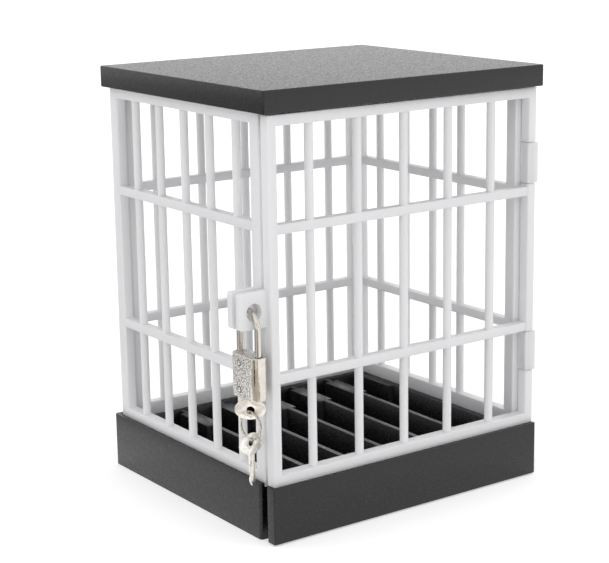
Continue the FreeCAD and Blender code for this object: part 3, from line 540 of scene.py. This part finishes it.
@dataclass
class Keys:
    """The two keys and the split ring that joins them."""

    edge_mm: float = 0.15
    ring_turn_deg: float = -80.0
    ring_crease_deg: float = 50.0
    wire_half_mm: tuple[float, float] = (0.5, 0.19)
    wire_sides: int = 10
    turns: int = 2
    pitch_mm: float = 0.4
    steps_per_turn: int = 72

    def split_ring(self) -> None:
        """Wind the ring: a flat wire that runs round twice, its ends one above the other."""
        low, high = (Vector(corner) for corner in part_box("key_ring"))
        centre = (low + high) / 2
        radius = (high.z - low.z) / 2 - self.wire_half_mm[0] * MM
        mesh = bmesh.new()
        start = -self.pitch_mm * MM * self.turns / 2
        section = bmesh.ops.create_circle(mesh, cap_ends=False, segments=self.wire_sides, radius=1.0)
        half_radial, half_axial = (value * MM for value in self.wire_half_mm)
        bmesh.ops.scale(mesh, vec=(half_radial, half_axial, 1), verts=section["verts"])
        bmesh.ops.translate(mesh, vec=(radius, start, 0), verts=section["verts"])
        steps = self.steps_per_turn * self.turns
        bmesh.ops.spin(mesh, geom=mesh.verts[:] + mesh.edges[:], cent=(0, 0, 0), axis=(0, 1, 0),
                       dvec=(0, self.pitch_mm * MM / self.steps_per_turn, 0),
                       angle=2 * math.pi * self.turns, steps=steps, use_merge=False)
        bmesh.ops.holes_fill(mesh, edges=[edge for edge in mesh.edges if edge.is_boundary], sides=0)
        bmesh.ops.recalc_face_normals(mesh, faces=mesh.faces)
        turn = Matrix.Rotation(math.radians(self.ring_turn_deg), 4, "Z")
        bmesh.ops.transform(mesh, matrix=Matrix.Translation(centre) @ turn, verts=mesh.verts)
        piece_from(mesh, "key_ring_wire", Finish.RING_WIRE, "ring", ("key_ring",),
                   self.ring_crease_deg)

    def build(self) -> None:
        """Make both keys and the ring."""
        for node, body in (("lock_key", "lock_cylinder"), ("spare_key", "second_key")):
            key = merged_copy(node)
            round_edges(key, self.edge_mm)
            piece_from(key, node + "_stamping", Finish.TUMBLED_KEY, body, (node,))
        self.split_ring()


@dataclass
class Studio:
    """The camera, the lamps, the floor and the white surroundings."""

    eye: tuple[float, float, float] = (-0.4907, -0.6909, 0.2958)
    yaw_deg: float = 34.847
    pitch_deg: float = 13.002
    roll_deg: float = -0.898
    focal_px: float = 1709.8
    frame_px: float = 609.0
    sensor_mm: float = 36.0
    clip: tuple[float, float] = (0.05, 50.0)
    padlock: tuple[float, float] = (HASP_X, -0.066)
    lamp_aim: tuple[float, float, float] = (0.0, 0.0, 0.1)
    sky_strength: float = 0.89
    floor_half: float = 3.0
    floor_colour: str = "F4F4F4"
    floor_glow: float = 0.4

    def camera(self) -> None:
        """Set the camera at the photograph's place and angle."""
        yaw, pitch, roll = (math.radians(v) for v in (self.yaw_deg, self.pitch_deg, self.roll_deg))
        forward = Vector((math.sin(yaw) * math.cos(pitch), math.cos(yaw) * math.cos(pitch),
                          -math.sin(pitch)))
        level = Vector((math.cos(yaw), -math.sin(yaw), 0))
        upward = level.cross(forward)
        right = math.cos(roll) * level + math.sin(roll) * upward
        up = -math.sin(roll) * level + math.cos(roll) * upward
        data = bpy.data.cameras.new("photo_camera")
        data.sensor_width = self.sensor_mm
        data.sensor_fit = "HORIZONTAL"
        data.lens = self.sensor_mm * self.focal_px / self.frame_px
        data.clip_start, data.clip_end = self.clip
        camera = bpy.data.objects.new("photo_camera", data)
        turn = Matrix((right, up, -forward)).transposed()
        camera.matrix_world = Matrix.Translation(self.eye) @ turn.to_4x4()
        bpy.context.scene.collection.objects.link(camera)
        bpy.context.scene.camera = camera

    def lamp(self, name: str, place: tuple[float, float, float], size: float, power: float) -> None:
        """Add a square soft lamp that looks at the middle of the cage.

        Args:
            name: the lamp's name.
            place: where it hangs, in metres.
            size: the side of the soft box.
            power: its power in watts.
        """
        data = bpy.data.lights.new(name, "AREA")
        data.size = size
        data.energy = power
        lamp = bpy.data.objects.new(name, data)
        turn = (Vector(self.lamp_aim) - Vector(place)).to_track_quat("-Z", "Y").to_matrix()
        lamp.matrix_world = Matrix.Translation(place) @ turn.to_4x4()
        bpy.context.scene.collection.objects.link(lamp)

    def card(self, name: str, colour: str, heading_deg: float, reach: tuple[float, float],
             width: float, height: float) -> None:
        """Lay a card on the table for what shines to mirror.

        A mirror that the camera looks down on shows the table in front of it, so a table that is
        white all over leaves polished metal without a shade, and black plastic with a sheen that
        is too pale. Only reflections see the card.

        Args:
            name: the card's name.
            colour: its colour, as sRGB hex.
            heading_deg: the direction from the padlock to the card.
            reach: how far from the padlock the card starts and ends, in metres.
            width: its width.
            height: how far above the table it lies.
        """
        mesh = bmesh.new()
        bmesh.ops.create_grid(mesh, x_segments=1, y_segments=1, size=0.5)
        bmesh.ops.scale(mesh, vec=(reach[1] - reach[0], width, 1), verts=mesh.verts)
        bmesh.ops.translate(mesh, vec=((reach[0] + reach[1]) / 2, 0, 0), verts=mesh.verts)
        turn = Matrix.Rotation(math.radians(heading_deg), 4, "Z")
        spot = Matrix.Translation((*self.padlock, height))
        bmesh.ops.transform(mesh, matrix=spot @ turn, verts=mesh.verts)
        material, tree = new_material("felt_of_" + name)
        felt = add_node(tree, "ShaderNodeBsdfDiffuse", {"Color": linear(colour)}, {})
        add_node(tree, "ShaderNodeOutputMaterial", {}, {"Surface": felt.outputs["BSDF"]})
        board = self.flat_object(name, mesh, material)
        board.visible_camera = False
        board.visible_diffuse = False
        board.visible_shadow = False

    @staticmethod
    def flat_object(name: str, mesh: bmesh.types.BMesh,
                    material: bpy.types.Material) -> bpy.types.Object:
        """Turn a flat mesh into an object of the studio.

        Args:
            name: the object's name.
            mesh: its geometry, in place.
            material: what it is made of.

        Returns:
            The new object.
        """
        data = bpy.data.meshes.new(name)
        mesh.to_mesh(data)
        mesh.free()
        data.materials.append(material)
        flat = bpy.data.objects.new(name, data)
        bpy.context.scene.collection.objects.link(flat)
        return flat

    def sky(self) -> None:
        """Make the white surroundings: full white where they are seen, dimmer as a lamp."""
        world = bpy.data.worlds.new("white_studio")
        world.use_nodes = True
        tree = world.node_tree
        tree.nodes.clear()
        seen = seen_directly(tree)
        dim, full = (add_node(tree, "ShaderNodeBackground",
                              {"Color": (1, 1, 1, 1), "Strength": strength}, {})
                     for strength in (self.sky_strength, 1.0))
        both = add_node(tree, "ShaderNodeMixShader", {},
                        {0: seen, 1: dim.outputs["Background"], 2: full.outputs["Background"]})
        add_node(tree, "ShaderNodeOutputWorld", {}, {"Surface": both.outputs["Shader"]})
        bpy.context.scene.world = world

    def floor(self) -> None:
        """Lay the paper floor, which glows a little where it is seen, as in an overlit studio."""
        material, tree = new_material("white_paper_sweep")
        paper = add_node(tree, "ShaderNodeBsdfDiffuse", {"Color": linear(self.floor_colour)}, {})
        seen = seen_directly(tree)
        glow = add_node(tree, "ShaderNodeEmission",
                        {"Color": (1, 1, 1, 1), "Strength": self.floor_glow}, {})
        lit = add_node(tree, "ShaderNodeAddShader", {},
                       {0: paper.outputs["BSDF"], 1: glow.outputs["Emission"]})
        both = add_node(tree, "ShaderNodeMixShader", {},
                        {0: seen, 1: paper.outputs["BSDF"], 2: lit.outputs["Shader"]})
        add_node(tree, "ShaderNodeOutputMaterial", {}, {"Surface": both.outputs["Shader"]})
        mesh = bmesh.new()
        bmesh.ops.create_grid(mesh, x_segments=1, y_segments=1, size=self.floor_half)
        floor = self.flat_object("studio_floor", mesh, material)

    def build(self) -> None:
        """Make the whole studio."""
        bpy.context.scene.view_settings.view_transform = "Standard"
        self.camera()
        self.sky()
        self.floor()
        # The tan and the dark card give the padlock its bands; the grey one at the side takes
        # down the sheen of the left wall and of the lid's side.
        self.card("tan_card", "D0C7BB", -140.0, (0.14, 0.80), 0.44, 0.003)
        self.card("dark_card", "332E29", -150.0, (0.20, 0.70), 0.06, 0.004)
        self.card("side_card", "B4B4B6", 125.0, (0.25, 1.60), 0.90, 0.005)
        self.lamp("key_softbox", (-1.1, -0.9, 1.1), 0.9, 0.9)
        self.lamp("fill_softbox", (0.9, -1.3, 0.7), 0.9, 1.0)
        self.lamp("rim_softbox", (0.95, 1.35, 0.55), 1.0, 0.8)


def main() -> None:
    """Build the studio and every part of the cage, in order."""
    logging.basicConfig(level=logging.INFO, format="%(name)s %(message)s")
    Studio().build()
    PlasticShell().build()
    WhiteGrilles().build()
    Padlock().build()
    Keys().build()


if __name__ == "__main__":
    main()
